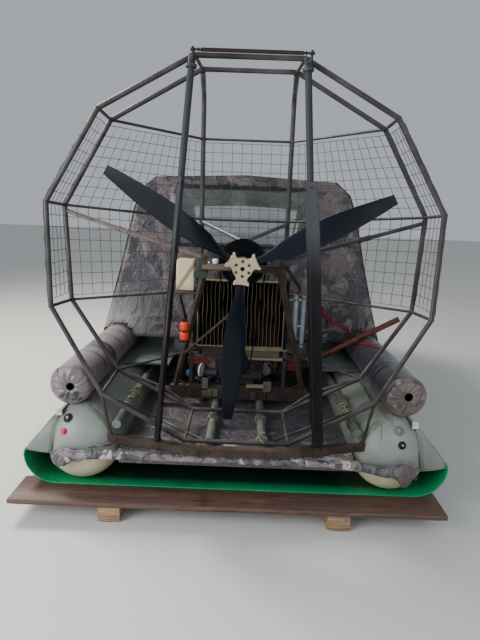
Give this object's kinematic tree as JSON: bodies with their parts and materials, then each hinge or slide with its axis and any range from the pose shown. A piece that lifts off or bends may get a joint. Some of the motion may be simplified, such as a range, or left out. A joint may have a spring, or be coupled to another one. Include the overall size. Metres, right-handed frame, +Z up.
{
  "type": "inflatable airboat",
  "caption": "Inflatable airboat with a caged rear propeller, twin air rudders, camouflage side tubes and a crew tent, parked on plank stands.",
  "frame": {"origin": "under the middle of the bounding box, on the ground", "axes": "+Y forward to the bow, +X to starboard, +Z up"},
  "size_m": [2.38, 5.4092, 2.3948],
  "materials": {
    "frame_steel": "satin",
    "brown_steel": "satin",
    "wire": "weathered",
    "grey_pvc": "matte",
    "camo_cloth": "woven camouflage print",
    "green_skin": "smooth",
    "strut_tube": "dull",
    "radiator_core": "finned",
    "tank_plastic": "satin",
    "engine_alloy": "cast",
    "cover_red": "satin",
    "rusty_pipe": "rusted",
    "coolant_tube": "satin",
    "belt_rubber": "matte",
    "pulley_dark": "anodised",
    "pulley_bright": "machined",
    "hub_alloy": "machined",
    "blade_composite": "satin",
    "rudder_paint": "satin",
    "rod_steel": "dull",
    "clear_film": "clear film",
    "grey_board": "painted",
    "seat_cloth": "padded",
    "console_paint": "textured",
    "wheel_rim": "moulded",
    "plank_wood": "weathered"
  },
  "bodies": {
    "boat": {"cage_rear_ring": "frame_steel", "cage_front_ring": "frame_steel", "lower_truss_port": "frame_steel", "lower_truss_starboard": "frame_steel", "cage_basket": "frame_steel", "band_net_port": "wire", "basket_net_port": "wire", "band_net_starboard": "wire", "basket_net_starboard": "wire", "basket_net_middle": "wire", "stern_beam": "brown_steel", "lower_tube_starboard": "grey_pvc", "lower_tube_port": "grey_pvc", "lower_tube_bow": "grey_pvc", "upper_tube_starboard": "camo_cloth", "upper_tube_port": "camo_cloth", "upper_tube_bow": "camo_cloth", "bottom_skin": "green_skin", "side_flap_port": "grey_pvc", "side_flap_starboard": "grey_pvc", "floor": "camo_cloth", "stern_hem": "camo_cloth", "rail_outer_port": "grey_pvc", "rail_inner_port": "grey_pvc", "rail_inner_starboard": "grey_pvc", "rail_outer_starboard": "grey_pvc", "engine_cradle": "brown_steel", "prop_stand": "brown_steel", "strut_outer_port": "strut_tube", "strut_outer_starboard": "frame_steel", "front_bearing": "brown_steel", "radiator": "radiator_core", "expansion_tank": "tank_plastic", "engine_block": "engine_alloy", "engine_cover": "cover_red", "exhaust": "rusty_pipe", "coolant_pipes": "coolant_tube", "drive_belt": "belt_rubber", "tent": "camo_cloth", "rear_window": "clear_film", "windscreen": "clear_film", "deck_board": "grey_board", "seat_rear": "seat_cloth", "seat_front": "seat_cloth", "console": "console_paint", "stand_aft": "plank_wood", "stand_forward": "plank_wood"},
    "propeller": {"prop_hub": "hub_alloy", "prop_blade_a": "blade_composite", "prop_blade_b": "blade_composite", "prop_blade_c": "blade_composite", "drive_pulley_upper": "pulley_dark"},
    "crank_pulley": {"drive_pulley_lower": "pulley_bright"},
    "rudder_port": {"rudder_port": "rudder_paint"},
    "rudder_starboard": {"rudder_starboard": "rudder_paint"},
    "tie_rod": {"tie_rod": "rod_steel"},
    "steering": {"steering_wheel": "wheel_rim"}
  },
  "joints": [
    {"name": "propeller_spin", "type": "hinge", "parent": "boat", "child": "propeller", "pos_m": [0, -2.33462, 1.34], "axis": [0, 1, 0], "continuous": true},
    {"name": "crank_pulley_spin", "type": "hinge", "parent": "boat", "child": "crank_pulley", "pos_m": [0, -2.05962, 0.715], "axis": [0, 1, 0], "continuous": true},
    {"name": "rudder_port_turn", "type": "hinge", "parent": "boat", "child": "rudder_port", "pos_m": [-0.428, -2.54262, 0.418], "axis": [0.0831, 0.0133, 0.9965], "range_deg": [-38, 22]},
    {"name": "rudder_starboard_turn", "type": "hinge", "parent": "boat", "child": "rudder_starboard", "pos_m": [0.428, -2.54262, 0.418], "axis": [-0.0831, 0.0133, 0.9965], "range_deg": [-38, 22]},
    {"name": "tie_rod_pivot", "type": "hinge", "parent": "rudder_port", "child": "tie_rod", "pos_m": [-0.25796, -2.58634, 2.34], "axis": [0.0831, 0.0133, 0.9965], "range_deg": [-22, 38]},
    {"name": "steering_wheel_turn", "type": "hinge", "parent": "boat", "child": "steering", "pos_m": [0.21, 0.24738, 1.01], "axis": [0, 0.9131, -0.4078], "range_deg": [-152, 88]}
  ],
  "couplings": [
    {"joint": "crank_pulley_spin", "follows": "propeller_spin", "ratio": 2.2097},
    {"joint": "rudder_starboard_turn", "follows": "rudder_port_turn", "ratio": 1},
    {"joint": "tie_rod_pivot", "follows": "rudder_port_turn", "ratio": -1},
    {"joint": "steering_wheel_turn", "follows": "rudder_port_turn", "ratio": 4}
  ]
}
